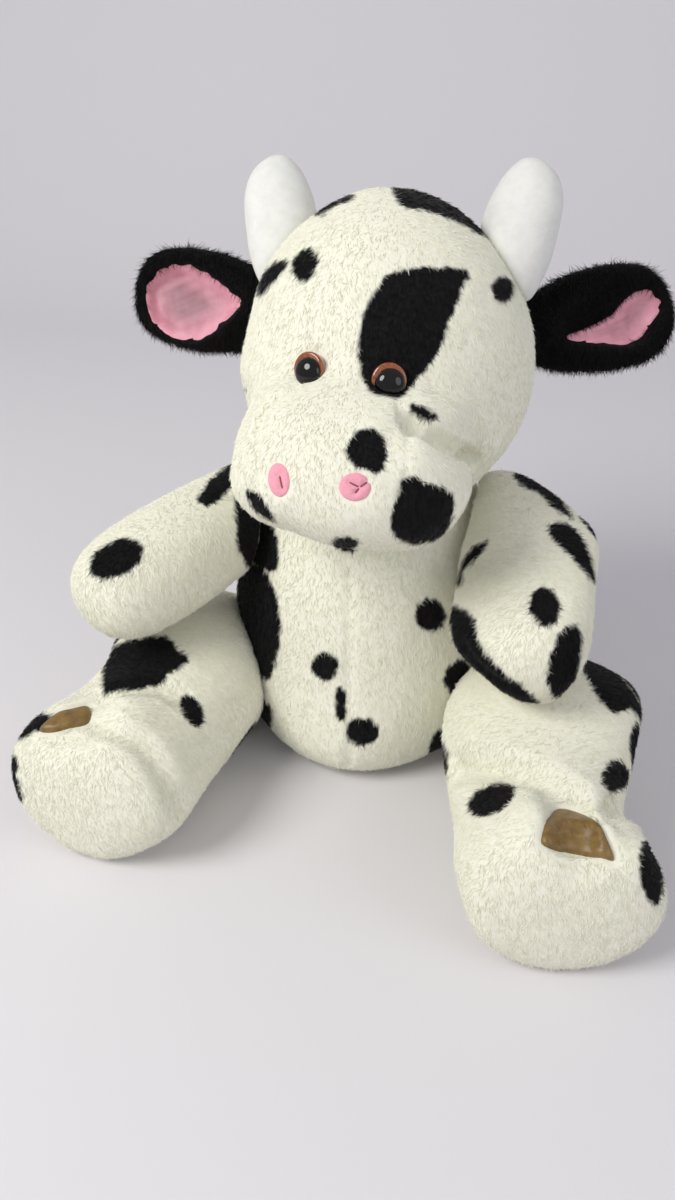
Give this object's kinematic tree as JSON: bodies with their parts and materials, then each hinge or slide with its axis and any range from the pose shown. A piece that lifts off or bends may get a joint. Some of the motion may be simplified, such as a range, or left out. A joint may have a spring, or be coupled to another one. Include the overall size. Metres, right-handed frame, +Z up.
{
  "type": "plush cow",
  "caption": "Seated plush cow in creamy short pile with black spots: velour horns, lined ears, safety eyes, felt nostrils; its head, ears, arms, legs and tail move.",
  "frame": {"origin": "the middle of the torso's flat seat, on the surface the cow sits on", "axes": "+Z up, -Y the way the torso faces, +X the cow's own left"},
  "size_m": [0.3423, 0.334, 0.3305],
  "materials": {
    "white_fur": "short creamy-white pile with black spots",
    "black_fur": "longer black pile",
    "polyester_fibre": "loose fibre stuffing",
    "white_velour": "smooth white velour",
    "pink_cloth": "smooth pink lining cloth",
    "pink_felt": "matt pink felt",
    "tan_satin": "gold-brown satin",
    "amber_plastic": "glossy amber",
    "black_plastic": "glossy black dome",
    "nylon": "plain moulded",
    "white_thread": "sewing thread",
    "brown_thread": "dark sewing thread"
  },
  "bodies": {
    "body": {"body_skin": "white_fur", "body_stuffing": "polyester_fibre", "closing_thread": "white_thread"},
    "neck": {"neck_stuffing": "polyester_fibre"},
    "head": {"eye_left": "amber_plastic", "eye_right": "amber_plastic", "eye_washer_left": "nylon", "eye_washer_right": "nylon", "head_skin": "white_fur", "head_stuffing": "polyester_fibre", "horn_left": "white_velour", "horn_right": "white_velour", "horn_stuffing_left": "polyester_fibre", "horn_stuffing_right": "polyester_fibre", "muzzle_skin": "white_fur", "nostril_left": "pink_felt", "nostril_right": "pink_felt", "nostril_stitches_left": "brown_thread", "nostril_stitches_right": "brown_thread", "pupil_left": "black_plastic", "pupil_right": "black_plastic"},
    "left_ear": {"ear_left": "black_fur", "ear_lining_left": "pink_cloth"},
    "right_ear": {"ear_lining_right": "pink_cloth", "ear_right": "black_fur"},
    "left_arm": {"arm_left": "white_fur", "arm_stuffing_left": "polyester_fibre"},
    "right_arm": {"arm_right": "white_fur", "arm_stuffing_right": "polyester_fibre"},
    "left_leg": {"hoof_strip_left": "tan_satin", "leg_left": "white_fur", "leg_stuffing_left": "polyester_fibre", "sole_left": "white_fur"},
    "right_leg": {"hoof_strip_right": "tan_satin", "leg_right": "white_fur", "leg_stuffing_right": "polyester_fibre", "sole_right": "white_fur"},
    "tail": {"tail": "white_fur", "tail_stuffing": "polyester_fibre", "tail_tuft": "black_fur"}
  },
  "joints": [
    {"name": "head_turn", "type": "hinge", "parent": "body", "child": "neck", "pos_m": [0.0071, -0.0127, 0.2311], "axis": [0, 0, 1], "range_deg": [-15, 12], "stiffness_Nm_per_rad": 0.3},
    {"name": "head_nod", "type": "hinge", "parent": "neck", "child": "head", "pos_m": [0.0071, -0.0127, 0.2311], "axis": [0.9957, -0.0924, 0], "range_deg": [-10, 6], "stiffness_Nm_per_rad": 0.4},
    {"name": "left_ear_flap", "type": "hinge", "parent": "head", "child": "left_ear", "pos_m": [0.078, 0.0062, 0.2463], "axis": [-0.2917, 0.4224, 0.8582], "range_deg": [-15, 15], "stiffness_Nm_per_rad": 0.03},
    {"name": "right_ear_flap", "type": "hinge", "parent": "head", "child": "right_ear", "pos_m": [-0.058, 0.0213, 0.2461], "axis": [-0.0926, -0.4069, -0.9088], "range_deg": [-15, 15], "stiffness_Nm_per_rad": 0.03},
    {"name": "left_arm_lift", "type": "hinge", "parent": "body", "child": "left_arm", "pos_m": [0, 0, 0.118], "axis": [-1, 0, 0], "range_deg": [0, 20], "stiffness_Nm_per_rad": 0.12},
    {"name": "right_arm_lift", "type": "hinge", "parent": "body", "child": "right_arm", "pos_m": [0, 0, 0.118], "axis": [-1, 0, 0], "range_deg": [0, 30], "stiffness_Nm_per_rad": 0.12},
    {"name": "left_leg_drop", "type": "hinge", "parent": "body", "child": "left_leg", "pos_m": [0, 0, 0.05], "axis": [0.9877, 0.1564, 0], "range_deg": [0, 25], "stiffness_Nm_per_rad": 0.15},
    {"name": "right_leg_drop", "type": "hinge", "parent": "body", "child": "right_leg", "pos_m": [0, 0, 0.05], "axis": [0.9816, -0.1908, 0], "range_deg": [0, 25], "stiffness_Nm_per_rad": 0.15},
    {"name": "tail_swing", "type": "hinge", "parent": "body", "child": "tail", "pos_m": [0.0013, 0.0748, 0.052], "axis": [0, 0, 1], "range_deg": [-15, 15], "stiffness_Nm_per_rad": 0.02}
  ]
}
